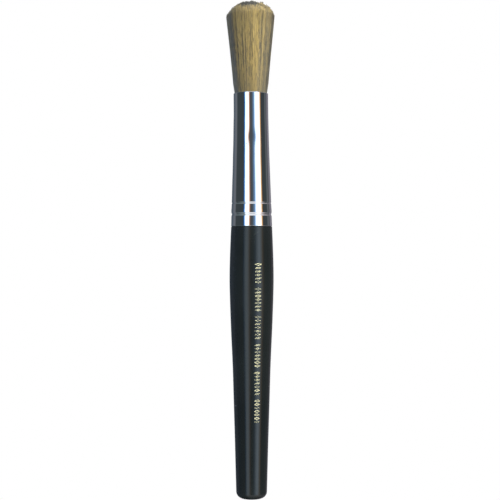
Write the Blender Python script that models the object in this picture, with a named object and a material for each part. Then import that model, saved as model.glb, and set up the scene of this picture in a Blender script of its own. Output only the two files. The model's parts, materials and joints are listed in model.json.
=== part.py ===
"""Round stencil brush: a lacquered wooden handle, a crimped seamless metal ferrule and a domed nylon tuft.

The brush stands on its butt at the origin, with its axis on +Z and its tuft up. Units are metres.
"""

import math

import bmesh
import bpy

# Driving dimensions of the whole brush, along its axis.
BRUSH_LENGTH = 0.1900
FERRULE_BOTTOM = 0.1038
FERRULE_TOP = 0.1546

# Handle: radius at heights along the turned body, from above the butt's round edge to the ferrule.
BUTT_EDGE_RADIUS = 0.0024
HANDLE_STATIONS = (
    (0.00580, BUTT_EDGE_RADIUS),
    (0.00645, 0.0260),
    (0.00716, 0.0500),
    (0.00794, 0.0680),
    (0.00836, 0.0835),
    (0.00817, 0.0930),
    (0.00776, FERRULE_BOTTOM),
)
TENON_TOP = 0.1260
TENON_CHAMFER = 0.0010

# Ferrule: outer radius at heights along the drawn tube, and the two grooves rolled into it.
FERRULE_STATIONS = (
    (0.00778, FERRULE_BOTTOM),
    (0.00727, 0.1200),
    (0.00676, 0.1360),
    (0.00659, 0.1460),
    (0.00653, FERRULE_TOP),
)
FERRULE_WALL = 0.00035
GROOVES = (  # height of the middle, half of the width, depth
    (0.10835, 0.0010, 0.00026),
    (0.11285, 0.0008, 0.00020),
)
CRIMP_TOP = 0.1160  # end of the crimped stretch, which is stepped finely across each groove
TUBE_START = 0.1210  # start of the plain stretch above it, which is stepped evenly

# Tuft: outer radius at heights along the free filaments, and the dome that they are trimmed to.
TUFT_STATIONS = (
    (0.00639, FERRULE_TOP),
    (0.00677, 0.1599),
    (0.00748, 0.1676),
    (0.00826, 0.1753),
    (0.00891, 0.1814),
)
TUFT_RADIUS = 0.00922
DOME_RADIUS = 0.01080
BEND_LIMIT = math.radians(20)
TUFT_BASE_RADIUS = 0.00585

# Pieces inside the ferrule: the tied roots of the filaments and the resin cast around them.
ROOTS_BOTTOM = 0.1365
ROOTS_RADIUS = 0.00520
ROOTS_SPREAD_START = 0.1482
ROOTS_SPREAD_END = 0.1510
RESIN_BOTTOM = 0.1338
RESIN_TOP = 0.1425
RESIN_MENISCUS = 0.0006
THREAD_RADIUS = 0.00018
THREAD_PITCH = 0.00046
THREAD_TURNS = 7
THREAD_START = 0.1441

GAP = 0.0003  # between neighbouring solids
SEGMENTS = 40  # around a turned piece
POINTS_PER_TURN = 20  # along the binding thread

# Points along each stretch of an outline.
BODY_POINTS = 16
EDGE_POINTS = 5
GROOVE_POINTS = 5
TUBE_POINTS = 7
RESIN_POINTS = 4
TUFT_POINTS = 6
DOME_POINTS = 7
SHARP_ANGLE = math.radians(35)
WELD_DISTANCE = 1e-6

LACQUER = ("black lacquer", (0.016, 0.020, 0.023), 0.25, 0.0)
NICKEL = ("nickel plate", (0.72, 0.74, 0.77), 0.10, 1.0)
NYLON = ("tan nylon", (0.38, 0.29, 0.13), 0.45, 0.0)
RESIN = ("amber resin", (0.45, 0.27, 0.08), 0.30, 0.0)
COTTON = ("waxed thread", (0.70, 0.66, 0.55), 0.80, 0.0)


def material_of(name, colour, roughness, metallic):
    material = bpy.data.materials.get(name) or bpy.data.materials.new(name)
    material.use_nodes = True
    shader = material.node_tree.nodes["Principled BSDF"]
    shader.inputs["Base Color"].default_value = (*colour, 1.0)
    shader.inputs["Roughness"].default_value = roughness
    shader.inputs["Metallic"].default_value = metallic
    return material


def radius_at(stations, height):
    """Radius at a height, on the smooth curve through stations of (radius, height)."""
    radii = [radius for radius, _ in stations]
    heights = [level for _, level in stations]
    last = len(stations) - 1

    def slope(i):
        low, high = max(i - 1, 0), min(i + 1, last)
        return (radii[high] - radii[low]) / (heights[high] - heights[low])

    i = max(k for k in range(last) if heights[k] <= height or k == 0)
    step = heights[i + 1] - heights[i]
    t = (height - heights[i]) / step
    return (
        (2 * t**3 - 3 * t**2 + 1) * radii[i]
        + (t**3 - 2 * t**2 + t) * step * slope(i)
        + (3 * t**2 - 2 * t**3) * radii[i + 1]
        + (t**3 - t**2) * step * slope(i + 1)
    )


def spread(start, end, count):
    """Heights from start to end, evenly spaced, with both ends."""
    return [start + (end - start) * k / (count - 1) for k in range(count)]


def arc(centre, radius, start_degrees, end_degrees, count):
    """Points of an arc in the outline's plane, as (radius from the axis, height)."""
    return [
        (
            centre[0] + radius * math.cos(math.radians(angle)),
            centre[1] + radius * math.sin(math.radians(angle)),
        )
        for angle in spread(start_degrees, end_degrees, count)
    ]


def groove_depth(height):
    """How far the rolled grooves press the tube in at a height."""
    depth = 0.0
    for middle, half_width, deepest in GROOVES:
        offset = abs(height - middle)
        if offset < half_width:
            depth += deepest * math.cos(math.pi / 2 * offset / half_width) ** 2
    return depth


def ferrule_outside(height):
    return radius_at(FERRULE_STATIONS, height) - groove_depth(height)


def ferrule_inside(height):
    return ferrule_outside(height) - FERRULE_WALL


def grooved_heights(start, end):
    """Heights for a grooved stretch: its two ends and a few across each groove."""
    heights = [start]
    for middle, half_width, _ in GROOVES:
        heights += spread(middle - half_width, middle + half_width, GROOVE_POINTS)
    return heights + [end]


def turned(name, outline, origin_height, finish):
    """A piece turned about Z from an outline of (radius, height), with its origin on the axis."""
    mesh = bpy.data.meshes.new(name)
    shape = bmesh.new()
    points = [shape.verts.new((radius, 0, height - origin_height)) for radius, height in outline]
    closed = outline[0][0] > 0
    ends = points[1:] + points[:1] if closed else points[1:]
    edges = [shape.edges.new(pair) for pair in zip(points, ends)]
    bmesh.ops.spin(
        shape,
        geom=points + edges,
        axis=(0, 0, 1),
        cent=(0, 0, 0),
        angle=2 * math.pi,
        steps=SEGMENTS,
    )
    bmesh.ops.remove_doubles(shape, verts=shape.verts, dist=WELD_DISTANCE)
    bmesh.ops.recalc_face_normals(shape, faces=shape.faces)
    shape.to_mesh(mesh)
    shape.free()
    mesh.shade_smooth()
    mesh.set_sharp_from_angle(angle=SHARP_ANGLE)
    piece = bpy.data.objects.new(name, mesh)
    piece.location = (0, 0, origin_height)
    mesh.materials.append(material_of(*finish))
    bpy.context.scene.collection.objects.link(piece)
    return piece


def make_handle():
    """Turned body with a round-edged butt, and the tenon that the ferrule is crimped on to."""
    butt_radius = HANDLE_STATIONS[0][0]
    edge_centre = (butt_radius - BUTT_EDGE_RADIUS, BUTT_EDGE_RADIUS)
    shoulder = FERRULE_BOTTOM - GAP
    tenon_start = FERRULE_BOTTOM + GAP
    body = [
        (radius_at(HANDLE_STATIONS, height), height)
        for height in spread(BUTT_EDGE_RADIUS, shoulder, BODY_POINTS)
    ]
    tenon = [
        (ferrule_inside(height) - GAP, height)
        for height in grooved_heights(tenon_start, TENON_TOP - TENON_CHAMFER)
    ]
    tenon_end_radius = tenon[-1][0] - TENON_CHAMFER
    outline = [(0, 0)]
    outline += arc(edge_centre, BUTT_EDGE_RADIUS, -90, 0, EDGE_POINTS)[:-1]
    outline += body
    outline += [(tenon[0][0], shoulder)]
    outline += tenon
    outline += [(tenon_end_radius, TENON_TOP), (0, TENON_TOP)]
    return turned("handle", outline, 0, LACQUER)


def make_ferrule():
    """Seamless tapered tube with two rolled grooves and a rounded mouth."""
    heights = grooved_heights(FERRULE_BOTTOM, CRIMP_TOP)
    heights += spread(TUBE_START, FERRULE_TOP - FERRULE_WALL / 2, TUBE_POINTS)
    outside = [(ferrule_outside(height), height) for height in heights]
    inside = [(ferrule_inside(height), height) for height in reversed(heights)]
    lip_centre = (ferrule_outside(FERRULE_TOP) - FERRULE_WALL / 2, FERRULE_TOP - FERRULE_WALL / 2)
    lip = arc(lip_centre, FERRULE_WALL / 2, 0, 180, EDGE_POINTS)[1:-1]
    return turned("ferrule", outside + lip + inside, FERRULE_BOTTOM, NICKEL)


def make_resin_plug():
    """Cast cup of resin that holds the filament roots, with a meniscus at its open end."""
    floor = ROOTS_BOTTOM - GAP
    cup_radius = ROOTS_RADIUS + GAP
    outside = [
        (ferrule_inside(height) - GAP, height)
        for height in spread(RESIN_BOTTOM, RESIN_TOP, RESIN_POINTS)
    ]
    outline = [(0, RESIN_BOTTOM)]
    outline += outside
    outline += [(cup_radius, RESIN_TOP - RESIN_MENISCUS), (cup_radius, floor), (0, floor)]
    return turned("resin_plug", outline, RESIN_BOTTOM, RESIN)


def make_filament_roots():
    """Tied end of the filament bundle. Its top is a cone, which leaves room for the tuft to bend."""
    cone_top = FERRULE_TOP - GAP
    cone_edge = cone_top - TUFT_BASE_RADIUS * math.tan(BEND_LIMIT)
    outline = [
        (0, ROOTS_BOTTOM),
        (ROOTS_RADIUS, ROOTS_BOTTOM),
        (ROOTS_RADIUS, ROOTS_SPREAD_START),
        ((ROOTS_RADIUS + TUFT_BASE_RADIUS) / 2, (ROOTS_SPREAD_START + ROOTS_SPREAD_END) / 2),
        (TUFT_BASE_RADIUS, ROOTS_SPREAD_END),
        (TUFT_BASE_RADIUS, cone_edge),
        (0, cone_top),
    ]
    return turned("filament_roots", outline, ROOTS_BOTTOM, NYLON)


def make_root_binding():
    """Waxed thread wound round the roots, above the resin."""
    winding_radius = ROOTS_RADIUS + GAP + THREAD_RADIUS
    curve = bpy.data.curves.new("root_binding", "CURVE")
    curve.dimensions = "3D"
    curve.bevel_depth = THREAD_RADIUS
    curve.bevel_resolution = 1
    curve.use_fill_caps = True
    count = THREAD_TURNS * POINTS_PER_TURN + 1
    spline = curve.splines.new("POLY")
    spline.points.add(count - 1)
    for k, point in enumerate(spline.points):
        turn = k / POINTS_PER_TURN
        angle = 2 * math.pi * turn
        x = winding_radius * math.cos(angle)
        y = winding_radius * math.sin(angle)
        point.co = (x, y, THREAD_PITCH * turn, 1)
    curve.materials.append(material_of(*COTTON))
    binding = bpy.data.objects.new("root_binding", curve)
    binding.location = (0, 0, THREAD_START)
    bpy.context.scene.collection.objects.link(binding)
    return binding


def make_filament_tuft():
    """Free length of the filaments, which bends about the middle of the ferrule's mouth.

    Its base stays inside a ball as wide as the mouth, so that the bent tuft clears the ferrule's lip.
    """
    ball = ferrule_inside(FERRULE_TOP) - GAP / 2
    waist_height = ball * math.sin(BEND_LIMIT)
    waist = (ball * math.cos(BEND_LIMIT), FERRULE_TOP + waist_height)
    shoulder_height = FERRULE_TOP + waist_height + 2 * GAP
    sides = [
        (radius_at(TUFT_STATIONS, height), height)
        for height in spread(shoulder_height, TUFT_STATIONS[-1][1], TUFT_POINTS)
    ]
    rim_degrees = math.degrees(math.acos(TUFT_RADIUS / DOME_RADIUS))
    dome = arc((0, BRUSH_LENGTH - DOME_RADIUS), DOME_RADIUS, rim_degrees, 90, DOME_POINTS)
    dome[-1] = (0, BRUSH_LENGTH)
    outline = [(0, FERRULE_TOP), (TUFT_BASE_RADIUS, FERRULE_TOP), waist] + sides + dome
    return turned("filament_tuft", outline, FERRULE_TOP, NYLON)


def main():
    for obj in list(bpy.data.objects):
        bpy.data.objects.remove(obj)
    brush = bpy.data.objects.new("brush", None)
    bpy.context.scene.collection.objects.link(brush)
    pieces = (
        make_handle(),
        make_ferrule(),
        make_resin_plug(),
        make_filament_roots(),
        make_root_binding(),
        make_filament_tuft(),
    )
    for piece in pieces:
        piece.parent = brush


main()
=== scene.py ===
import json
import math

import bmesh
import bpy
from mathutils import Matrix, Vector, noise


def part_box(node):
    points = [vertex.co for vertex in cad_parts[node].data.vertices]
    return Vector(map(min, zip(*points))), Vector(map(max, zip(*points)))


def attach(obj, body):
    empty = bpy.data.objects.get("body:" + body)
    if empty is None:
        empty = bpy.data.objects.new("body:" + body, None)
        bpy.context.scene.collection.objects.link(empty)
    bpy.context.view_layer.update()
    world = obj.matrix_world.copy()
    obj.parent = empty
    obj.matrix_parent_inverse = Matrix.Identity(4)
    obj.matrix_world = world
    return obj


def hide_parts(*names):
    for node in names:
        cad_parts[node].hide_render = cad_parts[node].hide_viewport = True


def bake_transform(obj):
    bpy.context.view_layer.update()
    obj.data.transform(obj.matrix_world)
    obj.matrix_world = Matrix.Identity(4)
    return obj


# Looks of a round stencil brush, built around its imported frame. Metres, brush upright on the floor.
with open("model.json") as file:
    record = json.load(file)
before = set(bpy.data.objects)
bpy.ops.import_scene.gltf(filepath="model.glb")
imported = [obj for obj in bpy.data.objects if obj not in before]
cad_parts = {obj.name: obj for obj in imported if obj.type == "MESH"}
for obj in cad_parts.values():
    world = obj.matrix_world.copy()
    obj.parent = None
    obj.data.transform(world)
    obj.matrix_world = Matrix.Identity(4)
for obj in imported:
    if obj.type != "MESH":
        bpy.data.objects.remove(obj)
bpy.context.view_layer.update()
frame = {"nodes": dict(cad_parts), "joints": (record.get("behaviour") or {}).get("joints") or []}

mm = 0.001
gripBody = "handle_and_ferrule"
mouth = Vector(frame["joints"][0]["pos_m"])
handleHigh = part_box("handle")[1]
ferruleLow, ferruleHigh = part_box("ferrule")
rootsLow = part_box("filament_roots")[0]
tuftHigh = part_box("filament_tuft")[1]
print("frame loaded")


# ---- small tools ----

def addNode(tree, kind, inputs=None, **settings):
    node = tree.nodes.new(kind)
    for name, value in settings.items():
        setattr(node, name, value)
    for key, value in (inputs or {}).items():
        socket = node.inputs[key]
        if isinstance(value, bpy.types.NodeSocket):
            tree.links.new(value, socket)
        else:
            socket.default_value = value
    return node


def calc(tree, operation, *values):
    node = addNode(tree, "ShaderNodeMath", dict(enumerate(values)), operation=operation)
    return node.outputs[0]


def chain(tree, operation, first, *others):
    # one operation over several values, from left to right
    for other in others:
        first = calc(tree, operation, first, other)
    return first


def vectorCalc(tree, operation, first, *second):
    inputs = {0: first}
    for value in second:
        inputs["Scale" if operation == "SCALE" else 1] = value
    node = addNode(tree, "ShaderNodeVectorMath", inputs, operation=operation)
    return node.outputs["Value" if operation == "DISTANCE" else "Vector"]


def vectorOf(tree, x=0.0, y=0.0, z=0.0):
    return addNode(tree, "ShaderNodeCombineXYZ", {"X": x, "Y": y, "Z": z}).outputs[0]


def partsOf(tree, vector):
    return addNode(tree, "ShaderNodeSeparateXYZ", {"Vector": vector}).outputs


def blendVector(tree, share, first, second):
    return addNode(tree, "ShaderNodeMix", {0: share, 4: first, 5: second}, data_type="VECTOR").outputs[1]


def noiseOf(tree, place, scale, detail, distortion=0.0):
    inputs = {"Vector": place, "Scale": scale, "Detail": detail, "Distortion": distortion}
    return addNode(tree, "ShaderNodeTexNoise", inputs).outputs["Fac"]


def mapRange(tree, value, low, high, toLow=0.0, toHigh=1.0, smooth=True):
    kind = "SMOOTHSTEP" if smooth else "LINEAR"
    inputs = {"Value": value, "From Min": low, "From Max": high, "To Min": toLow, "To Max": toHigh}
    return addNode(tree, "ShaderNodeMapRange", inputs, interpolation_type=kind).outputs["Result"]


def blendColour(tree, factor, first, second, mode="MIX"):
    node = addNode(tree, "ShaderNodeMix", data_type="RGBA", blend_type=mode)
    for socket, value in zip((node.inputs[0], node.inputs[6], node.inputs[7]), (factor, first, second)):
        if isinstance(value, bpy.types.NodeSocket):
            tree.links.new(value, socket)
        elif isinstance(value, tuple):
            socket.default_value = (*value, 1.0)
        else:
            socket.default_value = value
    return node.outputs[2]


def addSocket(tree, name, kind, value=None, direction="INPUT"):
    socket = tree.interface.new_socket(name=name, in_out=direction, socket_type="NodeSocket" + kind)
    if value is not None:
        socket.default_value = value
    return socket


def startMaterial(name, **values):
    material = bpy.data.materials.new(name)
    material.use_nodes = True
    tree = material.node_tree
    shader = tree.nodes["Principled BSDF"]
    for key, value in values.items():
        shader.inputs[socketNames[key]].default_value = value
    place = addNode(tree, "ShaderNodeTexCoord").outputs["Object"]
    return material, tree, shader, place


socketNames = {"roughness": "Roughness", "metallic": "Metallic", "specular": "Specular IOR Level"}


def wear(tree, group, inputs):
    # a shared effect inside a material
    node = addNode(tree, "ShaderNodeGroup", node_tree=group)
    for key, value in inputs.items():
        if isinstance(value, bpy.types.NodeSocket):
            tree.links.new(value, node.inputs[key])
        else:
            node.inputs[key].default_value = value
    return node.outputs


def addBump(tree, height, strength, distance, below=None):
    inputs = {"Height": height, "Strength": strength, "Distance": distance}
    if below is not None:
        inputs["Normal"] = below
    return addNode(tree, "ShaderNodeBump", inputs).outputs[0]


# ---- shared effects ----

def makeSpecks():
    # scattered round specks of dust or pitting: a mask, thinned out by a share
    tree = bpy.data.node_groups.new("specks", "ShaderNodeTree")
    addSocket(tree, "Place", "Vector")
    addSocket(tree, "Density", "Float", 400.0)
    addSocket(tree, "Share", "Float", 0.2)
    addSocket(tree, "Size", "Float", 0.2)
    addSocket(tree, "Mask", "Float", direction="OUTPUT")
    given = addNode(tree, "NodeGroupInput").outputs
    cells = addNode(tree, "ShaderNodeTexVoronoi", {"Vector": given["Place"], "Scale": given["Density"]})
    lottery = addNode(tree, "ShaderNodeSeparateColor", {"Color": cells.outputs["Color"]}).outputs[0]
    chosen = calc(tree, "LESS_THAN", lottery, given["Share"])
    inner = calc(tree, "MULTIPLY", given["Size"], 0.5)
    spot = mapRange(tree, cells.outputs["Distance"], inner, given["Size"], 1.0, 0.0)
    addNode(tree, "NodeGroupOutput", {"Mask": calc(tree, "MULTIPLY", chosen, spot)})
    return tree


def makeRubbing():
    # cloudy handling marks and hairlines along the brush: a mask and a bump height
    tree = bpy.data.node_groups.new("rubbing", "ShaderNodeTree")
    addSocket(tree, "Place", "Vector")
    addSocket(tree, "Cloud Scale", "Float", 60.0)
    addSocket(tree, "Hair Scale", "Float", 900.0)
    addSocket(tree, "Hair Stretch", "Float", 0.05)
    addSocket(tree, "Mask", "Float", direction="OUTPUT")
    addSocket(tree, "Height", "Float", direction="OUTPUT")
    given = addNode(tree, "NodeGroupInput").outputs
    cloud = noiseOf(tree, given["Place"], given["Cloud Scale"], 4.0)
    squeeze = vectorOf(tree, 1.0, 1.0, given["Hair Stretch"])
    stretched = vectorCalc(tree, "MULTIPLY", given["Place"], squeeze)
    hair = noiseOf(tree, stretched, given["Hair Scale"], 3.0)
    mask = mapRange(tree, cloud, 0.35, 0.7)
    addNode(tree, "NodeGroupOutput", {"Mask": mask, "Height": hair})
    return tree


specks = makeSpecks()
rubbing = makeRubbing()
print("shared effects ready")


# ---- materials ----

def makeLacquer():
    look = {
        "colour": (0.0074, 0.0094, 0.0100),
        "cloud": (0.0096, 0.0120, 0.0126),
        "dust": (0.11, 0.12, 0.12),
        "roughness": (0.14, 0.21),
        "dustRoughness": 0.4,
        "peelScale": 420.0,
        "peel": (0.035, 0.4 * mm),  # bump strength and distance
        "grain": (0.10, 0.02 * mm),
        "specks": (0.5, 0.03 * mm),
    }
    material, tree, shader, place = startMaterial("blackLacquer", specular=0.38)
    handled = wear(tree, rubbing, {"Place": place, "Cloud Scale": 45.0, "Hair Scale": 700.0})
    dusted = wear(tree, specks, {"Place": place, "Density": 330.0, "Share": 0.035, "Size": 0.11})
    body = blendColour(tree, handled["Mask"], look["colour"], look["cloud"])
    tree.links.new(blendColour(tree, dusted["Mask"], body, look["dust"]), shader.inputs["Base Color"])
    gloss = mapRange(tree, handled["Mask"], 0.0, 1.0, *look["roughness"])
    dull = calc(tree, "MULTIPLY", dusted["Mask"], look["dustRoughness"])
    tree.links.new(calc(tree, "ADD", gloss, dull), shader.inputs["Roughness"])
    bump = addBump(tree, noiseOf(tree, place, look["peelScale"], 1.0), *look["peel"])
    bump = addBump(tree, handled["Height"], *look["grain"], bump)
    bump = addBump(tree, dusted["Mask"], *look["specks"], bump)
    tree.links.new(bump, shader.inputs["Normal"])
    return material


def makePlating():
    look = {
        "colour": (0.83, 0.85, 0.87),
        "stained": (0.70, 0.72, 0.73),
        "stainShare": 0.35,
        "pit": (0.28, 0.30, 0.31),
        "roughness": (0.035, 0.10),
        "pitRoughness": 0.3,
        "drawn": (0.05, 0.01 * mm),  # bump strength and distance
    }
    material, tree, shader, place = startMaterial("brightPlating", metallic=1.0)
    marks = {"Place": place, "Cloud Scale": 90.0, "Hair Scale": 1400.0, "Hair Stretch": 0.03}
    handled = wear(tree, rubbing, marks)
    pitted = wear(tree, specks, {"Place": place, "Density": 520.0, "Share": 0.03, "Size": 0.13})
    cloudy = calc(tree, "MULTIPLY", handled["Mask"], look["stainShare"])
    body = blendColour(tree, cloudy, look["colour"], look["stained"])
    tree.links.new(blendColour(tree, pitted["Mask"], body, look["pit"]), shader.inputs["Base Color"])
    gloss = mapRange(tree, handled["Mask"], 0.0, 1.0, *look["roughness"])
    dull = calc(tree, "MULTIPLY", pitted["Mask"], look["pitRoughness"])
    tree.links.new(calc(tree, "ADD", gloss, dull), shader.inputs["Roughness"])
    tree.links.new(addBump(tree, handled["Height"], *look["drawn"]), shader.inputs["Normal"])
    return material


def makeNylon():
    look = {
        "dark": (0.092, 0.086, 0.066),
        "middle": (0.350, 0.266, 0.114),
        "light": (0.505, 0.378, 0.146),
        "tip": (0.570, 0.438, 0.188),
        "crown": (0.095, 0.094, 0.080),
        "cut": (0.620, 0.510, 0.290),
        "shadow": (0.178, 0.142, 0.074),
        "edge": (0.108, 0.128, 0.148),
        "roughness": (0.29, 0.44),
        "packing": 0.85,
        "flare": -0.8 * mm,
        "domeStart": tuftHigh.z - 7.0 * mm,
        "domeEnd": tuftHigh.z - 3.0 * mm,
        "domeCentre": tuftHigh.z - 10.8 * mm,
        "domeSlope": 0.6,
        "fleckScale": 2100.0,
        "fleckStretch": 0.22,
        "fleckAtMouth": 1.45,
        "fleckEvenFrom": mouth.z + 30 * mm,
    }
    fades = {  # from, to, and the values there, which are 0 and 1 where not given
        "contrast": (0.35, 0.85, 1.0, 1.6),
        "middle": (0.18, 0.44),
        "light": (0.56, 0.76),
        "paleFleck": (0.50, 0.64, 0.0, 0.6),
        "darkFleck": (0.48, 0.34, 0.0, 0.75),
        "tip": (0.60, 0.95, 0.0, 0.32),
        "shadow": (0.0, 0.85, 0.90, 0.0),
        "mouth": (0.095, 0.125, 0.75, 0.0),
        "crown": (0.955, 0.975),
        "cut": (0.9985, 0.9999),
        "roughness": (0.3, 0.7),
        "edgeShare": (0.0, 1.0, 0.58, 0.25),
        "edge": (0.02, 0.50),
    }
    material, tree, shader, _ = startMaterial("tanNylon", specular=0.5)

    def attribute(name, output="Fac"):
        return addNode(tree, "ShaderNodeAttribute", attribute_name=name).outputs[output]

    def fade(name, value):
        return mapRange(tree, value, *fades[name])

    # along runs from 0 at the filament's neck to 1 at its tip
    tint, crown, along = attribute("tint"), attribute("crown"), attribute("along")
    offset = calc(tree, "SUBTRACT", tint, 0.5)
    tint = calc(tree, "MULTIPLY_ADD", offset, fade("contrast", along), 0.5)
    low = blendColour(tree, fade("middle", tint), look["dark"], look["middle"])
    shade = blendColour(tree, fade("light", tint), low, look["light"])
    parts = partsOf(tree, attribute("rest", "Vector"))
    heights = (mouth.z, look["fleckEvenFrom"])
    widening = mapRange(tree, parts[2], *heights, look["fleckAtMouth"], 1.0, smooth=False)
    squeeze = vectorOf(
        tree,
        calc(tree, "MULTIPLY", parts[0], widening),
        calc(tree, "MULTIPLY", parts[1], widening),
        calc(tree, "MULTIPLY", parts[2], look["fleckStretch"]),
    )
    fleck = noiseOf(tree, squeeze, look["fleckScale"], 3.0)
    colour = blendColour(tree, fade("paleFleck", fleck), shade, look["light"])
    colour = blendColour(tree, fade("darkFleck", fleck), colour, look["dark"])
    colour = blendColour(tree, fade("tip", along), colour, look["tip"])
    # painted shade: the filaments darken towards the ferrule's mouth, with a darker band where they enter it
    colour = blendColour(tree, fade("shadow", along), colour, look["shadow"])
    colour = blendColour(tree, fade("mouth", along), colour, look["shadow"])
    colour = blendColour(tree, fade("cut", along), colour, look["cut"])
    # painted shade: near their tips, filaments in the dome's crown turn dark grey
    crownShade = calc(tree, "MULTIPLY", crown, fade("crown", along))
    colour = blendColour(tree, crownShade, colour, look["crown"])
    gloss = mapRange(tree, fleck, *fades["roughness"], *look["roughness"])
    tree.links.new(gloss, shader.inputs["Roughness"])

    # filaments packed this tightly shade as one rounded bundle, so its outward direction is mixed in
    domeHeight = calc(tree, "SUBTRACT", parts[2], look["domeCentre"])
    inDome = mapRange(tree, parts[2], look["domeStart"], look["domeEnd"])
    domeRise = calc(tree, "MULTIPLY", domeHeight, look["domeSlope"])
    upward = mapRange(tree, inDome, 0.0, 1.0, look["flare"], domeRise, smooth=False)
    rounded = vectorCalc(tree, "NORMALIZE", vectorOf(tree, parts[0], parts[1], upward))
    own = addNode(tree, "ShaderNodeNewGeometry").outputs["Normal"]
    final = vectorCalc(tree, "NORMALIZE", blendVector(tree, look["packing"], own, rounded))
    tree.links.new(final, shader.inputs["Normal"])

    # painted shade: towards its edges the bundle is darkened to a cool grey, standing for the shaded gaps
    # between filaments
    glancing = addNode(tree, "ShaderNodeLayerWeight", {"Blend": 0.5, "Normal": final}).outputs["Facing"]
    edgeShade = mapRange(tree, glancing, *fades["edge"], 0.0, fade("edgeShare", inDome), smooth=False)
    tree.links.new(blendColour(tree, edgeShade, colour, look["edge"]), shader.inputs["Base Color"])
    return material


def makeFoil():
    look = {"bright": (0.63, 0.60, 0.39), "thin": (0.38, 0.36, 0.22), "roughness": (0.35, 0.55)}
    material, tree, shader, place = startMaterial("goldFoil", metallic=0.3, specular=0.6)
    worn = wear(tree, rubbing, {"Place": place, "Cloud Scale": 900.0, "Hair Scale": 2500.0})
    rubbed = blendColour(tree, worn["Mask"], look["bright"], look["thin"])
    tree.links.new(rubbed, shader.inputs["Base Color"])
    tree.links.new(mapRange(tree, worn["Height"], 0.3, 0.7, *look["roughness"]), shader.inputs["Roughness"])
    return material


def makeResin():
    look = {
        "deep": (0.42, 0.22, 0.05),
        "pale": (0.60, 0.38, 0.12),
        "bubble": (0.72, 0.58, 0.34),
        "roughness": (0.18, 0.36),
    }
    material, tree, shader, place = startMaterial("amberResin", roughness=0.25, specular=0.5)
    swirl = noiseOf(tree, place, 260.0, 3.0, 1.2)
    bubbles = wear(tree, specks, {"Place": place, "Density": 900.0, "Share": 0.15, "Size": 0.22})
    body = blendColour(tree, swirl, look["deep"], look["pale"])
    tree.links.new(blendColour(tree, bubbles["Mask"], body, look["bubble"]), shader.inputs["Base Color"])
    tree.links.new(mapRange(tree, swirl, 0.3, 0.7, *look["roughness"]), shader.inputs["Roughness"])
    return material


def makeThread():
    look = {
        "deep": (0.42, 0.38, 0.28),
        "pale": (0.74, 0.69, 0.56),
        "roughness": (0.85, 0.6),
        "ply": {"Scale": 2600.0, "Distortion": 0.6, "Detail": 1.0},
        "bump": (0.6, 0.05 * mm),
    }
    material, tree, shader, place = startMaterial("waxedThread", roughness=0.75, specular=0.3)
    waves = addNode(tree, "ShaderNodeTexWave", {"Vector": place, **look["ply"]}, bands_direction="DIAGONAL")
    ply = waves.outputs["Fac"]
    tree.links.new(blendColour(tree, ply, look["deep"], look["pale"]), shader.inputs["Base Color"])
    tree.links.new(mapRange(tree, ply, 0.0, 1.0, *look["roughness"]), shader.inputs["Roughness"])
    tree.links.new(addBump(tree, ply, *look["bump"]), shader.inputs["Normal"])
    return material


lacquer = makeLacquer()
plating = makePlating()
nylon = makeNylon()
foil = makeFoil()
resin = makeResin()
thread = makeThread()
print("materials ready")


# ---- turned pieces ----

def outlineOf(node):
    # outer radius at each height of a turned CAD piece
    radii = {}
    for vertex in frame["nodes"][node].data.vertices:
        height = round(vertex.co.z, 6)
        radii[height] = max(radii.get(height, 0.0), math.hypot(vertex.co.x, vertex.co.y))
    return [(radii[height], height) for height in sorted(radii)]


def radiusAt(outline, height):
    # smooth curve through an outline's points
    last = len(outline) - 1

    def slope(i):
        low, high = outline[max(i - 1, 0)], outline[min(i + 1, last)]
        return (high[0] - low[0]) / (high[1] - low[1])

    i = 0
    while i < last - 1 and outline[i + 1][1] < height:
        i += 1
    (r0, z0), (r1, z1) = outline[i], outline[i + 1]
    step = z1 - z0
    t = (height - z0) / step
    rise = (t**3 - 2 * t**2 + t) * slope(i) + (t**3 - t**2) * slope(i + 1)
    return (2 * t**3 - 3 * t**2 + 1) * r0 + (3 * t**2 - 2 * t**3) * r1 + step * rise


def steps(low, high, count):
    return [low + (high - low) * k / (count - 1) for k in range(count)]


sharpAngle = math.radians(40)


def turnPiece(name, outline, segments, shape):
    # shape(angle, radius, height) gives the final radius and height; angle 0 faces -Y
    build = bmesh.new()
    rings = []
    for radius, height in outline:
        if radius == 0.0:
            rings.append([build.verts.new((0.0, 0.0, height))])
            continue
        ring = []
        for k in range(segments):
            angle = 2 * math.pi * k / segments
            r, z = shape(angle, radius, height)
            ring.append(build.verts.new((r * math.sin(angle), -r * math.cos(angle), z)))
        rings.append(ring)
    pairs = list(zip(rings, rings[1:]))
    if len(rings[0]) > 1:
        pairs.append((rings[-1], rings[0]))
    for low, high in pairs:
        for k in range(segments):
            after = (k + 1) % segments
            if len(low) == 1:
                build.faces.new((low[0], high[after], high[k]))
            elif len(high) == 1:
                build.faces.new((low[k], low[after], high[0]))
            else:
                build.faces.new((low[k], low[after], high[after], high[k]))
    bmesh.ops.recalc_face_normals(build, faces=build.faces)
    mesh = bpy.data.meshes.new(name)
    build.to_mesh(mesh)
    build.free()
    mesh.shade_smooth()
    mesh.set_sharp_from_angle(angle=sharpAngle)
    piece = bpy.data.objects.new(name, mesh)
    bpy.context.scene.collection.objects.link(piece)
    return piece


def around(angle, height, depth, scale, seed):
    # smooth noise that wraps round the brush
    ring = 7 * mm
    spot = Vector((math.cos(angle) * ring, math.sin(angle) * ring, height)) * scale
    return noise.noise(spot + Vector((seed, seed, seed))) * depth


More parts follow.
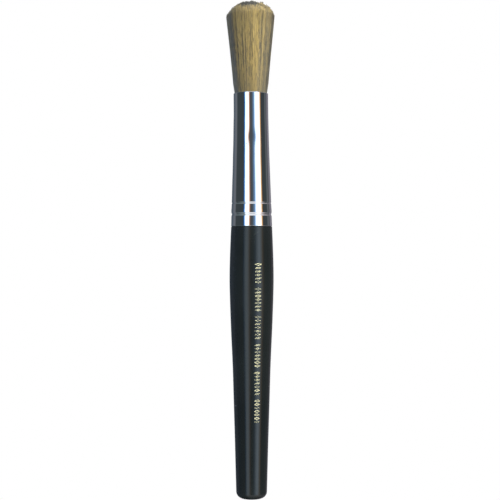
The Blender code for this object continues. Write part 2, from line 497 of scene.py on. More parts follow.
def makeHandle():
    look = {
        "segments": 176,
        "rows": 120,
        "edgeRows": 10,
        "shoulderGap": 0.05 * mm,
        "shoulderRound": 0.12 * mm,
        "shoulderShare": 0.3,
        "clear": 0.1 * mm,
        "edgeHeight": 2.0 * mm,
        "film": 0.09 * mm,
        "wave": (0.030 * mm, 60.0, 3.1),  # depth, scale, seed
        "turned": (0.003 * mm, 320.0, 8.4),
    }
    outline = outlineOf("handle")
    shoulder = ferruleLow.z
    body = [point for point in outline if point[1] < shoulder - look["clear"]]
    tenon = [point for point in outline if point[1] > shoulder + look["clear"]]
    flat = body[0][0]
    edge = next(point for point in body if point[1] > look["edgeHeight"])
    side = [point for point in body if point[1] >= edge[1]]
    roundness = edge[0] - flat
    rings = [(0.0, 0.0), (flat * 0.5, 0.0)]
    for turn in steps(0.0, math.pi / 2, look["edgeRows"]):
        rings.append((flat + roundness * math.sin(turn), edge[1] * (1 - math.cos(turn))))
    top = shoulder - look["shoulderGap"]
    for height in steps(edge[1], top - look["shoulderRound"], look["rows"])[1:]:
        rings.append((radiusAt(side, height), height))
    rim = radiusAt(side, top)
    eased = look["shoulderRound"] * look["shoulderShare"]
    rings.append((rim - eased, top - eased))
    rings.append((rim - look["shoulderRound"], top))
    rings.append((tenon[0][0], top))
    rings += [(radius, height) for radius, height in tenon]
    rings.append((0.0, handleHigh.z))

    def shape(angle, radius, height):
        if height > top - look["shoulderRound"] or height <= 0.0:
            return radius, height
        swing = around(angle, height, *look["wave"])
        swing += around(angle, height, *look["turned"])
        return radius + look["film"] + swing, height

    piece = turnPiece("lacquered_handle", rings, look["segments"], shape)
    piece.data.materials.append(lacquer)
    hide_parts("handle")
    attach(piece, gripBody)
    return piece


def makeFerrule():
    look = {
        "segments": 240,
        "wall": 0.35 * mm,
        "rowsBetween": 13,
        "rowsAcross": 17,
        "rowsUpper": 70,
        "rowsLip": 9,
        "rowsEdge": 7,
        "innerEvery": 3,
        "groovedFrom": 107.0 * mm,
        "groovedTo": 115.0 * mm,
        "plainFrom": 116.0 * mm,
        "taperSpacing": 2.0 * mm,
        "film": 0.07 * mm,
        "wave": (0.060 * mm, 100.0, 5.7),  # depth, scale, seed
        "ripple": (0.008 * mm, 340.0, 1.3),
        "edgeRound": 0.24 * mm,
        "nickReach": 0.5 * mm,
        "veeSoftness": 0.01,
        "veeFade": 8,
        "lean": -0.30 * mm,
    }
    bead = {"middle": 109.9 * mm, "spread": 0.55 * mm, "rise": 0.07 * mm}
    grooves = (  # narrow vees: middle, half width, depth
        {"middle": 108.40 * mm, "half": 0.64 * mm, "depth": 0.24 * mm},
        {"middle": 112.65 * mm, "half": 0.42 * mm, "depth": 0.15 * mm},
    )
    dents = (  # shallow knocks: angle from the front, height, spread round, spread along, depth
        {"angle": 0.045, "height": 137.5 * mm, "round": 0.17, "along": 1.6 * mm, "depth": 0.105 * mm},
        {"angle": 2.1, "height": 128.0 * mm, "round": 0.16, "along": 1.3 * mm, "depth": 0.045 * mm},
        {"angle": -1.5, "height": 146.0 * mm, "round": 0.12, "along": 1.1 * mm, "depth": 0.035 * mm},
    )
    nicks = (  # at the lower edge: angle, width, height
        {"angle": 0.03, "width": 0.05, "rise": 0.16 * mm},
        {"angle": 0.28, "width": 0.03, "rise": 0.09 * mm},
        {"angle": 0.40, "width": 0.02, "rise": 0.07 * mm},
        {"angle": 2.6, "width": 0.05, "rise": 0.12 * mm},
        {"angle": -2.0, "width": 0.04, "rise": 0.10 * mm},
    )

    def pressed(height):
        depth = -bead["rise"] * math.exp(-0.5 * ((height - bead["middle"]) / bead["spread"]) ** 2)
        for groove in grooves:
            offset = abs(height - groove["middle"]) / groove["half"]
            if offset < 1.0:
                softness = look["veeSoftness"]
                vee = 1.0 - math.sqrt(offset * offset + softness) / math.sqrt(1.0 + softness)
                depth += groove["depth"] * max(vee, 0.0) * (1.0 - offset ** look["veeFade"])
        return depth

    def apart(angle, other):
        return (angle - other + math.pi) % (2 * math.pi) - math.pi

    lip = look["wall"] / 2
    taper = []
    for radius, height in outlineOf("ferrule"):
        grooved = look["groovedFrom"] < height < look["groovedTo"]
        if not grooved and height < ferruleHigh.z - lip + 1e-6:
            if not taper or height - taper[-1][1] > look["taperSpacing"]:
                taper.append((radius, height))
    edgeHeight = ferruleLow.z + look["edgeRound"]
    heights = []
    stops = [edgeHeight]
    for groove in grooves:
        stops += [groove["middle"] - groove["half"], groove["middle"] + groove["half"]]
    stops.append(look["plainFrom"])
    for k, (low, high) in enumerate(zip(stops, stops[1:])):
        heights += steps(low, high, look["rowsAcross"] if k % 2 else look["rowsBetween"])[:-1]
    heights += steps(look["plainFrom"], ferruleHigh.z - lip, look["rowsUpper"])
    outer = [(radiusAt(taper, z) - pressed(z), z) for z in heights]
    inner = [(radius - look["wall"], z) for radius, z in reversed(outer[:: look["innerEvery"]])]
    lipMiddle = outer[-1][0] - lip
    curl = [
        (lipMiddle + lip * math.cos(turn), ferruleHigh.z - lip + lip * math.sin(turn))
        for turn in steps(0.0, math.pi, look["rowsLip"])[1:-1]
    ]
    inner[-1] = (outer[0][0] - look["wall"], edgeHeight)
    bottom = []
    for turn in steps(0.0, math.pi / 2, look["rowsEdge"])[:-1]:
        inward, rise = look["edgeRound"] * (1 - math.sin(turn)), look["edgeRound"] * (1 - math.cos(turn))
        bottom.append((outer[0][0] - inward, ferruleLow.z + rise))

    def shape(angle, radius, height):
        swing = around(angle, height, *look["wave"])
        swing += around(angle, height, *look["ripple"]) + look["film"]
        for dent in dents:
            a = apart(angle, dent["angle"]) / dent["round"]
            b = (height - dent["height"]) / dent["along"]
            swing -= dent["depth"] * math.exp(-0.5 * (a * a + b * b))
        rise = 0.0
        if height < ferruleLow.z + look["nickReach"]:
            share = 1 - (height - ferruleLow.z) / look["nickReach"]
            for nick in nicks:
                a = apart(angle, nick["angle"]) / nick["width"]
                rise += nick["rise"] * share * math.exp(-0.5 * a * a)
        return radius + swing, height + rise

    piece = turnPiece("crimped_ferrule", outer + curl + inner + bottom, look["segments"], shape)
    for vertex in piece.data.vertices:
        vertex.co.x += look["lean"] * (vertex.co.z - ferruleLow.z) / (ferruleHigh.z - ferruleLow.z)
    piece.data.materials.append(plating)
    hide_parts("ferrule")
    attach(piece, gripBody)


handlePiece = makeHandle()
print("handle turned")
makeFerrule()
print("ferrule drawn and crimped")


# ---- geometry node trees ----

def startTree(name, sockets):
    tree = bpy.data.node_groups.new(name, "GeometryNodeTree")
    addSocket(tree, "Geometry", "Geometry", direction="OUTPUT")
    for label, kind, value in sockets:
        addSocket(tree, label, kind, value)
    return tree, addNode(tree, "NodeGroupInput").outputs


def finishTree(tree, geometry, material):
    whole = addNode(tree, "GeometryNodeRealizeInstances", {"Geometry": geometry})
    dressed = addNode(tree, "GeometryNodeSetMaterial", {"Geometry": whole.outputs[0], "Material": material})
    addNode(tree, "NodeGroupOutput", {"Geometry": dressed.outputs[0]})


def randomValue(tree, low, high, identity, seed):
    node = addNode(tree, "FunctionNodeRandomValue", data_type="FLOAT")
    node.inputs[2].default_value = low
    node.inputs[3].default_value = high
    tree.links.new(identity, node.inputs["ID"])
    tree.links.new(seed, node.inputs["Seed"])
    return node.outputs[1]


def growPiece(name, tree, values):
    # runs a tree on an empty mesh and keeps the plain result
    seedObject = bpy.data.objects.new(name + "Seed", bpy.data.meshes.new(name + "Seed"))
    bpy.context.scene.collection.objects.link(seedObject)
    modifier = seedObject.modifiers.new("grow", "NODES")
    modifier.node_group = tree
    for item in tree.interface.items_tree:
        if item.in_out == "INPUT" and item.name in values:
            modifier[item.identifier] = values[item.name]
    evaluated = seedObject.evaluated_get(bpy.context.evaluated_depsgraph_get())
    mesh = bpy.data.meshes.new_from_object(evaluated)
    mesh.name = name
    seedObject.modifiers.remove(modifier)
    bpy.data.objects.remove(seedObject)
    piece = bpy.data.objects.new(name, mesh)
    bpy.context.scene.collection.objects.link(piece)
    return piece


# ---- filaments ----

filamentLook = {
    "outerShare": 0.40,
    "jitter": (-0.006, 0.004),  # lowest and highest draw
    "ownLength": (-0.4, 0.0),
    "patchScale": 2.6,
    "patchLength": 1.6,
    "lockScale": 6.5,
    "lockMiddle": 0.64,
    "lockLength": 1.25,
    "strayAbove": 0.98,
    "strayLength": 0.5,
    "easing": 1.6,
    "bowTurns": 1.5,
    "taper": 0.3,
    "taperPower": 4.0,
    "thickness": (0.8, 1.15),
    "ownTint": 0.50,
    "dimShare": 0.12,
    "dimmer": 0.6,
    "ragged": 0.18,
    "middleEdge": (0.30, 0.64),
    "middleCover": 0.70,
    "ovalStretch": (1.15, 1.5, 1.0),
    "ovalCentre": (-0.03, -0.77, 0.0),
    "ovalEdge": (0.36, 0.42),
}
filamentValues = {  # handed to the tree by the names of its inputs
    "Total": 3400,
    "Filament Radius": 0.098 * mm,
    "Root Height": rootsLow.z + 0.1 * mm,
    "Neck Height": mouth.z - 3.6 * mm,
    "Tip Height": tuftHigh.z,
    "Dome Radius": 10.8 * mm,
    "Uneven Length": 0.80 * mm,
    "Clump Scale": 15.0,
    "Clump Pull": 0.10,
    "Lean": 0.06 * mm,
    "Bow": 0.015 * mm,
    "Tuft Lean": -0.17 * mm,
    "Mouth Lean": -0.32 * mm,
    "Trim Tilt": 0.030,
    "Mouth Height": mouth.z,
    "Seed": 7,
}
# radius of the whole bundle at heights above the ferrule's mouth, both in mm
bundleOutline = (
    (-18.2, 5.05),
    (-7.0, 5.05),
    (-3.6, 5.75),
    (-1.0, 5.98),
    (0.0, 6.10),
    (0.9, 6.36),
    (2.2, 6.54),
    (5.3, 6.80),
    (13.0, 7.52),
    (20.7, 8.31),
    (26.8, 8.96),
    (29.9, 9.26),
    (35.4, 9.58),
)
bundleScale = 10.0  # mm of radius that the curve's full height stands for


def makeBundleTree():
    look = filamentLook
    sockets = [("First", "Int", 0), ("Count", "Int", 100), ("Points", "Int", 10), ("Sides", "Int", 5)]
    for label, value in filamentValues.items():
        sockets.append((label, "Int" if isinstance(value, int) else "Float", value))
    tree, given = startTree("filamentBundle", [*sockets, ("Material", "Material", None)])
    line = addNode(tree, "GeometryNodeCurvePrimitiveLine", {"End": (0.0, 0.0, 1.0)})
    lineInputs = {"Curve": line.outputs[0], "Count": given["Points"]}
    fine = addNode(tree, "GeometryNodeResampleCurve", lineInputs)
    copyInputs = {"Geometry": fine.outputs[0], "Amount": given["Count"]}
    copies = addNode(tree, "GeometryNodeDuplicateElements", copyInputs, domain="SPLINE")
    number = calc(tree, "ADD", copies.outputs["Duplicate Index"], given["First"])

    def draw(limits, step):
        # one random value per filament
        return randomValue(tree, *limits, number, calc(tree, "ADD", given["Seed"], step))

    share = calc(tree, "SQRT", calc(tree, "DIVIDE", calc(tree, "ADD", number, 0.5), given["Total"]))
    share = calc(tree, "ADD", share, draw(look["jitter"], 0))
    goldenAngle = math.pi * (3 - math.sqrt(5))
    turn = calc(tree, "MULTIPLY", number, goldenAngle)
    spotX = calc(tree, "MULTIPLY", share, calc(tree, "COSINE", turn))
    spotY = calc(tree, "MULTIPLY", share, calc(tree, "SINE", turn))
    spot = vectorOf(tree, spotX, spotY)

    def cellsOf(scale):
        # cells of neighbours: where each has its middle, and three random values of its own
        inputs = {"Vector": spot, "Scale": scale}
        cells = addNode(tree, "ShaderNodeTexVoronoi", inputs, voronoi_dimensions="2D").outputs
        values = addNode(tree, "FunctionNodeSeparateColor", {"Color": cells["Color"]}).outputs
        return cells["Position"], values

    # neighbours gather into clumps that share part of their shade, and into wider locks that share a length
    clumpMiddle, clumpValues = cellsOf(given["Clump Scale"])
    lockValues = cellsOf(look["lockScale"])[1]
    patch = calc(tree, "SUBTRACT", noiseOf(tree, spot, look["patchScale"], 2.0), 0.5)

    # tips lie on the trimmed dome, a little uneven
    edgeRadius, mouthRadius = bundleOutline[-2][1] * mm, bundleOutline[4][1] * mm
    tipRadius = calc(tree, "MULTIPLY", share, edgeRadius)
    dome = given["Dome Radius"]
    squares = calc(tree, "MULTIPLY", dome, dome), calc(tree, "MULTIPLY", tipRadius, tipRadius)
    capHeight = calc(tree, "SUBTRACT", dome, calc(tree, "SQRT", calc(tree, "SUBTRACT", *squares)))
    lockOffset = calc(tree, "SUBTRACT", lockValues[0], look["lockMiddle"])
    stray = calc(tree, "GREATER_THAN", draw((0.0, 1.0), 2), look["strayAbove"])
    lengths = chain(
        tree,
        "ADD",
        calc(tree, "MULTIPLY", lockOffset, look["lockLength"]),
        draw(look["ownLength"], 1),
        calc(tree, "MULTIPLY", patch, look["patchLength"]),
        calc(tree, "MULTIPLY", stray, look["strayLength"]),
    )
    uneven = calc(tree, "MULTIPLY", lengths, given["Uneven Length"])
    tilted = chain(tree, "MULTIPLY", spotX, edgeRadius, given["Trim Tilt"])
    tip = chain(tree, "ADD", calc(tree, "SUBTRACT", given["Tip Height"], capHeight), uneven, tilted)

    # the first stretch runs down to the resin, the others are spaced over the free length
    along = addNode(tree, "GeometryNodeSplineParameter").outputs["Factor"]
    gaps = calc(tree, "SUBTRACT", given["Points"], 1.0)
    passed = calc(tree, "SUBTRACT", calc(tree, "MULTIPLY", along, gaps), 1.0)
    free = calc(tree, "DIVIDE", passed, calc(tree, "SUBTRACT", gaps, 1.0))
    freeShare = calc(tree, "MAXIMUM", free, 0.0)
    isRoot = calc(tree, "LESS_THAN", free, -1e-4)
    neck = given["Neck Height"]
    reach = calc(tree, "MULTIPLY", freeShare, calc(tree, "SUBTRACT", tip, neck))
    rootDrop = calc(tree, "MULTIPLY", isRoot, calc(tree, "SUBTRACT", given["Root Height"], neck))
    height = chain(tree, "ADD", neck, reach, rootDrop)

    low, high = bundleOutline[0][0], bundleOutline[-1][0]
    outlineNode = addNode(tree, "ShaderNodeFloatCurve")
    curve = outlineNode.mapping.curves[0]
    for _ in bundleOutline[2:]:
        curve.points.new(0.5, 0.5)
    for point, (level, radius) in zip(curve.points, bundleOutline):
        point.location = ((level - low) / (high - low), radius / bundleScale)
    outlineNode.mapping.update()
    level = mapRange(tree, height, mouth.z + low * mm, mouth.z + high * mm, smooth=False)
    tree.links.new(level, outlineNode.inputs["Value"])
    bundleRadius = calc(tree, "MULTIPLY", outlineNode.outputs[0], bundleScale * mm)

    # each filament leans and bows a little its own way, more towards its tip
    easing = calc(tree, "POWER", freeShare, look["easing"])
    pull = calc(tree, "MULTIPLY", given["Clump Pull"], easing)
    gathered = blendVector(tree, pull, spot, clumpMiddle)
    parts = partsOf(tree, vectorCalc(tree, "SCALE", gathered, bundleRadius))
    arch = calc(tree, "SINE", calc(tree, "MULTIPLY", freeShare, math.pi * look["bowTurns"]))
    offsets = []
    for k in range(2):
        leaned = chain(tree, "MULTIPLY", draw((-1.0, 1.0), 10 + k), given["Lean"], easing)
        bowed = chain(tree, "MULTIPLY", draw((-1.0, 1.0), 20 + k), given["Bow"], arch)
        offsets.append(calc(tree, "ADD", leaned, bowed))
    shared = mapRange(tree, height, given["Root Height"], given["Mouth Height"], smooth=False)
    tuftDrift = calc(tree, "MULTIPLY", given["Tuft Lean"], easing)
    drift = calc(tree, "ADD", tuftDrift, calc(tree, "MULTIPLY", given["Mouth Lean"], shared))
    placeX = chain(tree, "ADD", parts[0], offsets[0], drift)
    place = vectorOf(tree, placeX, calc(tree, "ADD", parts[1], offsets[1]), height)
    moveInputs = {"Geometry": copies.outputs["Geometry"], "Position": place}
    moved = addNode(tree, "GeometryNodeSetPosition", moveInputs)

    # filaments are squeezed thinner in the ferrule and taper at the tip
    squeezed = calc(tree, "MINIMUM", calc(tree, "DIVIDE", bundleRadius, mouthRadius), 1.0)
    narrowing = calc(tree, "MULTIPLY", calc(tree, "POWER", freeShare, look["taperPower"]), look["taper"])
    taper = calc(tree, "SUBTRACT", 1.0, narrowing)
    radius = chain(tree, "MULTIPLY", squeezed, taper, draw(look["thickness"], 30), given["Filament Radius"])

    # tone with painted gap shadows, share of the free length, mask of the painted crown shade and unbent
    # place are kept for the material
    tintInputs = {0: look["ownTint"], 2: clumpValues[0], 3: draw((0.0, 1.0), 40)}
    tint = addNode(tree, "ShaderNodeMix", tintInputs).outputs[0]
    # painted shadow: a few clumps are dimmed into dark lines, standing for the shade in the gaps between
    # filaments
    gapShadow = calc(tree, "LESS_THAN", clumpValues[1], look["dimShare"])
    tint = calc(tree, "SUBTRACT", tint, calc(tree, "MULTIPLY", gapShadow, look["dimmer"]))
    # painted shade: the crown mask covers the middle of the dome and an oval towards its front, with ragged
    # edges
    ragged = calc(tree, "MULTIPLY", calc(tree, "SUBTRACT", clumpValues[2], 0.5), look["ragged"])
    fromMiddle = calc(tree, "ADD", share, ragged)
    inMiddle = mapRange(tree, fromMiddle, *look["middleEdge"], look["middleCover"], 0.0)
    oval = vectorCalc(tree, "MULTIPLY", spot, look["ovalStretch"])
    fromOval = calc(tree, "ADD", vectorCalc(tree, "DISTANCE", oval, look["ovalCentre"]), ragged)
    inFront = mapRange(tree, fromOval, *look["ovalEdge"], 1.0, 0.0)
    crown = calc(tree, "MAXIMUM", inMiddle, inFront)
    stored = moved.outputs[0]
    kept = {"tint": tint, "along": freeShare, "crown": crown, "rest": place}
    for label, value in kept.items():
        kind = "FLOAT_VECTOR" if label == "rest" else "FLOAT"
        storeInputs = {"Geometry": stored, "Name": label}
        node = addNode(tree, "GeometryNodeStoreNamedAttribute", storeInputs, data_type=kind, domain="POINT")
        holders = [socket for socket in node.inputs if socket.name == "Value" and socket.enabled]
        tree.links.new(value, holders[0])
        stored = node.outputs[0]
    ring = addNode(tree, "GeometryNodeCurvePrimitiveCircle", {"Resolution": given["Sides"], "Radius": 1.0})
    tubeInputs = {"Curve": stored, "Profile Curve": ring.outputs[0], "Scale": radius, "Fill Caps": True}
    tubes = addNode(tree, "GeometryNodeCurveToMesh", tubeInputs)
    finishTree(tree, tubes.outputs[0], given["Material"])
    return tree


def makeFilaments():
    tree = makeBundleTree()
    total = filamentValues["Total"]
    innerCount = round(total * (1 - filamentLook["outerShare"]))
    layers = {
        "outer_filaments": {"First": innerCount, "Count": total - innerCount, "Points": 11, "Sides": 5},
        "inner_filaments": {"First": 0, "Count": innerCount, "Points": 7, "Sides": 4},
    }
    for name, layer in layers.items():
        piece = growPiece(name, tree, {**filamentValues, **layer, "Material": nylon})
        piece.data.shade_smooth()
        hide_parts("filament_tuft", "filament_roots")
        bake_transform(piece)
        print(name, len(piece.data.polygons), "faces")


makeFilaments()


# ---- foil marks ----

def makeFoilTree():
    tree, given = startTree(
        "foilRow",
        (
            ("Surface", "Object", None),
            ("Count", "Int", 10),
            ("Start Height", "Float", 0.03),
            ("Pitch", "Float", 1.3 * mm),
            ("Angle", "Float", 0.3),
            ("Surface Radius", "Float", 8 * mm),
            ("Mark Width", "Float", 2.4 * mm),
            ("Stroke", "Float", 0.3 * mm),
            ("Thickness", "Float", 0.03 * mm),
            ("Seed", "Int", 0),
            ("Material", "Material", None),
        ),
    )
    width, stroke, thick = given["Mark Width"], given["Stroke"], given["Thickness"]

    def bar(start, end):
        # a thin strip between two points given in mark widths
        middle = ((start[0] + end[0]) / 2, (start[1] + end[1]) / 2)
        reach = math.hypot(end[0] - start[0], end[1] - start[1])
        tilt = -math.atan2(end[1] - start[1], end[0] - start[0])
        size = vectorOf(tree, calc(tree, "MULTIPLY", width, reach), thick, stroke)
        block = addNode(tree, "GeometryNodeMeshCube", {"Size": size, "Vertices X": 5})
        shift = [calc(tree, "MULTIPLY", width, value) for value in middle]
        inputs = {
            "Geometry": block.outputs[0],
            "Translation": vectorOf(tree, shift[0], 0.0, shift[1]),
            "Rotation": (0.0, tilt, 0.0),
        }
        return addNode(tree, "GeometryNodeTransform", inputs).outputs[0]

    def lozenge(across, along):
        corners = [(-across, 0.0), (0.0, along), (across, 0.0), (0.0, -along)]
        return [bar(corners[k], corners[(k + 1) % 4]) for k in range(4)]

    def dot(across, along):
        return bar((across - 0.06, along), (across + 0.06, along))

    def joined(*geometries):
        node = addNode(tree, "GeometryNodeJoinGeometry")
        for geometry in geometries:
            tree.links.new(geometry, node.inputs[0])
        return node.outputs[0]

    motifs = (
        joined(*lozenge(0.48, 0.17)),
        joined(*lozenge(0.25, 0.15), dot(0.42, 0.0), dot(-0.42, 0.0)),
        joined(
            bar((-0.46, -0.10), (-0.10, 0.12)),
            bar((-0.20, -0.12), (0.20, 0.12)),
            bar((0.10, -0.12), (0.46, 0.10)),
        ),
        joined(
            bar((-0.46, 0.0), (-0.14, 0.0)),
            bar((0.14, 0.0), (0.46, 0.0)),
            dot(0.0, 0.16),
            dot(0.0, -0.16),
        ),
        joined(*lozenge(0.48, 0.18), dot(0.0, 0.0)),
    )
    choices = addNode(tree, "GeometryNodeGeometryToInstance")
    for motif in reversed(motifs):
        tree.links.new(motif, choices.inputs[0])

    # a row of marks with a gap in every eighth place
    every = 8.0
    rowInputs = {
        "Count": given["Count"],
        "Start Location": vectorOf(tree, z=given["Start Height"]),
        "Offset": vectorOf(tree, z=given["Pitch"]),
    }
    row = addNode(tree, "GeometryNodeMeshLine", rowInputs)
    index = addNode(tree, "GeometryNodeInputIndex").outputs[0]
    gap = calc(tree, "COMPARE", calc(tree, "MODULO", index, every), every - 1.0, 0.1)
    gapInputs = {"Geometry": row.outputs[0], "Selection": gap}
    spaced = addNode(tree, "GeometryNodeDeleteGeometry", gapInputs, domain="POINT")
    pick = calc(tree, "FLOOR", randomValue(tree, 0.0, len(motifs) - 0.01, index, given["Seed"]))
    markInputs = {
        "Points": spaced.outputs[0],
        "Instance": choices.outputs[0],
        "Pick Instance": True,
        "Instance Index": pick,
    }
    marks = addNode(tree, "GeometryNodeInstanceOnPoints", markInputs)
    flat = addNode(tree, "GeometryNodeRealizeInstances", {"Geometry": marks.outputs[0]})

    # the flat row is wrapped on to the lacquer by rays from well outside it
    outside = 20 * mm
    parts = partsOf(tree, addNode(tree, "GeometryNodeInputPosition").outputs[0])
    angle = calc(tree, "ADD", calc(tree, "DIVIDE", parts[0], given["Surface Radius"]), given["Angle"])
    outY = calc(tree, "MULTIPLY", calc(tree, "COSINE", angle), -1.0)
    outward = vectorOf(tree, calc(tree, "SINE", angle), outY)
    rayStart = vectorCalc(tree, "SCALE", outward, outside)
    surface = addNode(tree, "GeometryNodeObjectInfo", {"Object": given["Surface"]})
    castInputs = {
        "Target Geometry": surface.outputs["Geometry"],
        "Source Position": vectorCalc(tree, "ADD", vectorOf(tree, z=parts[2]), rayStart),
        "Ray Direction": vectorCalc(tree, "SCALE", outward, -1.0),
        "Ray Length": 1.5 * outside,
    }
    cast = addNode(tree, "GeometryNodeRaycast", castInputs)
    lift = vectorCalc(tree, "SCALE", outward, calc(tree, "MULTIPLY", parts[1], -1.0))
    settled = vectorCalc(tree, "ADD", cast.outputs["Hit Position"], lift)
    wrapped = addNode(tree, "GeometryNodeSetPosition", {"Geometry": flat.outputs[0], "Position": settled})
    finishTree(tree, wrapped.outputs[0], given["Material"])
    return tree


def makeFoilMarks():
    look = {
        "Surface": handlePiece,
        "Count": 46,
        "Start Height": 30.0 * mm,
        "Pitch": 1.32 * mm,
        "Angle": math.radians(17.2),
        "Surface Radius": 7.6 * mm,
        "Mark Width": 2.3 * mm,
        "Stroke": 0.23 * mm,
        "Thickness": 0.05 * mm,
        "Seed": 4,
        "Material": foil,
    }
    piece = growPiece("foil_marks", makeFoilTree(), look)
    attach(piece, gripBody)
    print("foil marks", len(piece.data.polygons), "faces")


makeFoilMarks()

for node, material in (("resin_plug", resin), ("root_binding", thread)):
    mesh = frame["nodes"][node].data
    mesh.materials.clear()
    mesh.materials.append(material)
print("inner pieces dressed")


# ---- studio ----

def makeCamera():
    look = {"distance": 0.410, "height": 94.8 * mm, "side": -0.62 * mm, "lens": 77.08}
    data = bpy.data.cameras.new("camera")
    data.lens = look["lens"]
    data.sensor_width = 36.0
    data.clip_start = 0.01
    camera = bpy.data.objects.new("camera", data)
    camera.location = (look["side"], -look["distance"], look["height"])
    camera.rotation_euler = (math.radians(90), 0.0, 0.0)
    bpy.context.scene.collection.objects.link(camera)
    bpy.context.scene.camera = camera


def makeFloor():
    # pale floor that only the camera sees, so that it throws nothing on to the gloss
    mesh = bpy.data.meshes.new("floor")
    size = 40.0
    corners = [(-size, -size, 0), (size, -size, 0), (size, size, 0), (-size, size, 0)]
    mesh.from_pydata(corners, [], [(0, 1, 2, 3)])
    floor = bpy.data.objects.new("floor", mesh)
    floor.location.z = -0.01 * mm
    material = bpy.data.materials.new("paleFloor")
    material.use_nodes = True
    tree = material.node_tree
    tree.nodes.clear()
    glow = addNode(tree, "ShaderNodeEmission", {"Color": (1, 1, 1, 1), "Strength": 1.0})
    addNode(tree, "ShaderNodeOutputMaterial", {"Surface": glow.outputs[0]})
    mesh.materials.append(material)
    bpy.context.scene.collection.objects.link(floor)
    floor.visible_glossy = False
    floor.visible_diffuse = False
    floor.visible_shadow = False


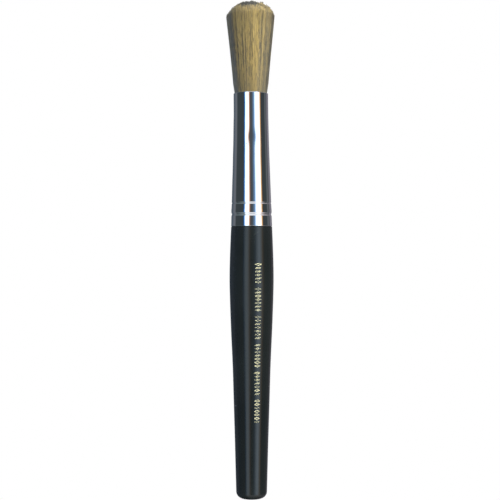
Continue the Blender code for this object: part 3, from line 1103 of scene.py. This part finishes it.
def makeWorld():
    # a studio round the brush: two tall soft panels in front, dark between them, pale behind
    look = {
        "panelEnds": (20, 32),  # degrees above and below the level
        "table": (-0.90, -0.60, 0.30, 0.85),
        "ceilingFrom": (0.55, 0.95),
        "ceiling": (3.6, 3.6, 3.6),
    }
    panels = (  # azimuth in degrees from the camera's side towards +X, and colour
        (-180, (0.080, 0.100, 0.130)),
        (-132, (0.100, 0.125, 0.155)),
        (-122, (0.160, 0.170, 0.195)),
        (-108, (0.150, 0.160, 0.180)),
        (-100, (0.048, 0.059, 0.063)),
        (-48, (0.046, 0.057, 0.062)),
        (-45, (0.030, 0.100, 0.270)),
        (-41.5, (0.050, 0.230, 0.650)),
        (-39.5, (0.180, 0.520, 1.100)),
        (-38, (1.10, 1.35, 1.60)),
        (-26, (1.60, 1.95, 2.30)),
        (-15, (1.20, 1.24, 1.25)),
        (-12.5, (0.95, 0.52, 0.30)),
        (-9.5, (0.45, 0.23, 0.14)),
        (-6.5, (0.080, 0.080, 0.085)),
        (6, (0.080, 0.092, 0.105)),
        (12, (0.110, 0.180, 0.270)),
        (20, (0.190, 0.340, 0.600)),
        (25, (0.95, 1.20, 1.50)),
        (41, (2.30, 2.80, 3.35)),
        (56, (1.30, 1.30, 1.30)),
        (60, (1.15, 0.75, 0.36)),
        (64.5, (0.50, 0.23, 0.09)),
        (68, (0.046, 0.056, 0.060)),
        (98, (0.048, 0.058, 0.062)),
        (108, (0.140, 0.150, 0.160)),
        (122, (0.075, 0.078, 0.085)),
        (130, (0.215, 0.205, 0.240)),
        (180, (0.240, 0.225, 0.260)),
    )
    overhead = (  # the same for steep directions, seen by the crimps and rounded edges
        (-180, (0.16, 0.19, 0.20)),
        (-90, (0.15, 0.19, 0.20)),
        (-46, (0.26, 0.32, 0.34)),
        (-38, (1.25, 1.27, 1.30)),
        (20, (1.15, 1.15, 1.20)),
        (62, (1.25, 1.14, 1.14)),
        (90, (0.46, 0.42, 0.44)),
        (180, (0.30, 0.28, 0.31)),
    )
    ambient = (  # the same for light scattered by matt surfaces
        (-180, (0.110, 0.120, 0.130)),
        (-120, (0.080, 0.095, 0.105)),
        (-60, (0.030, 0.042, 0.054)),
        (0, (0.055, 0.060, 0.065)),
        (60, (0.080, 0.076, 0.078)),
        (100, (0.110, 0.105, 0.108)),
        (140, (0.140, 0.135, 0.138)),
        (180, (0.110, 0.115, 0.120)),
    )
    world = bpy.data.worlds.new("studio")
    bpy.context.scene.world = world
    world.use_nodes = True
    tree = world.node_tree
    tree.nodes.clear()
    direction = addNode(tree, "ShaderNodeTexCoord").outputs["Generated"]
    parts = partsOf(tree, direction)
    azimuth = calc(tree, "ARCTAN2", parts[0], calc(tree, "MULTIPLY", parts[1], -1.0))
    turn = calc(tree, "ADD", calc(tree, "DIVIDE", azimuth, 2 * math.pi), 0.5)

    def ringOf(stops):
        ramp = addNode(tree, "ShaderNodeValToRGB", {"Fac": turn})
        elements = ramp.color_ramp.elements
        while len(elements) < len(stops):
            elements.new(0.5)
        for element, (degrees, colour) in zip(elements, stops):
            element.position = degrees / 360 + 0.5
            element.color = (*colour, 1.0)
        return ramp.outputs[0]

    # the panels end above and below, where the ceiling and the table bounce a soft light
    steepness = calc(tree, "ABSOLUTE", parts[2])
    above = mapRange(tree, steepness, *(math.sin(math.radians(degrees)) for degrees in look["panelEnds"]))
    lit = mapRange(tree, parts[2], *look["table"])
    colour = blendColour(tree, above, ringOf(panels), vectorCalc(tree, "SCALE", ringOf(overhead), lit))
    soft = blendColour(tree, mapRange(tree, parts[2], *look["ceilingFrom"]), ringOf(ambient), look["ceiling"])
    path = addNode(tree, "ShaderNodeLightPath")
    scattered = blendColour(tree, path.outputs["Is Diffuse Ray"], colour, soft)
    seen = blendColour(tree, path.outputs["Is Camera Ray"], scattered, (1.0, 1.0, 1.0))
    background = addNode(tree, "ShaderNodeBackground", {"Color": seen, "Strength": 1.0})
    addNode(tree, "ShaderNodeOutputWorld", {"Surface": background.outputs[0]})


def makeLights():
    # soft boxes that shape the tuft and stay out of the reflections
    lamps = {
        "keyLight": {"azimuth": 24, "elevation": 8, "distance": 0.9, "size": 0.16, "power": 12.6},
        "coolFill": {"azimuth": -105, "elevation": 8, "distance": 1.0, "size": 0.5, "power": 14.5},
        "backLight": {"azimuth": 178, "elevation": 12, "distance": 0.9, "size": 0.30, "power": 9.0},
    }
    colours = {
        "keyLight": (1.0, 0.97, 0.84),
        "coolFill": (0.55, 0.69, 1.0),
        "backLight": (1.0, 0.98, 0.95),
    }
    target = Vector((0, 0, 0.13))
    for name, lamp in lamps.items():
        data = bpy.data.lights.new(name, "AREA")
        data.energy = lamp["power"]
        data.size = lamp["size"]
        data.color = colours[name]
        light = bpy.data.objects.new(name, data)
        a, e = math.radians(lamp["azimuth"]), math.radians(lamp["elevation"])
        away = Vector((math.sin(a) * math.cos(e), -math.cos(a) * math.cos(e), math.sin(e)))
        light.location = target + away * lamp["distance"]
        light.rotation_mode = "QUATERNION"
        light.rotation_quaternion = (-away).to_track_quat("-Z", "Y")
        light.visible_glossy = False
        bpy.context.scene.collection.objects.link(light)


makeCamera()
makeFloor()
makeWorld()
makeLights()
bpy.context.scene.view_settings.view_transform = "Standard"
print("studio lit")
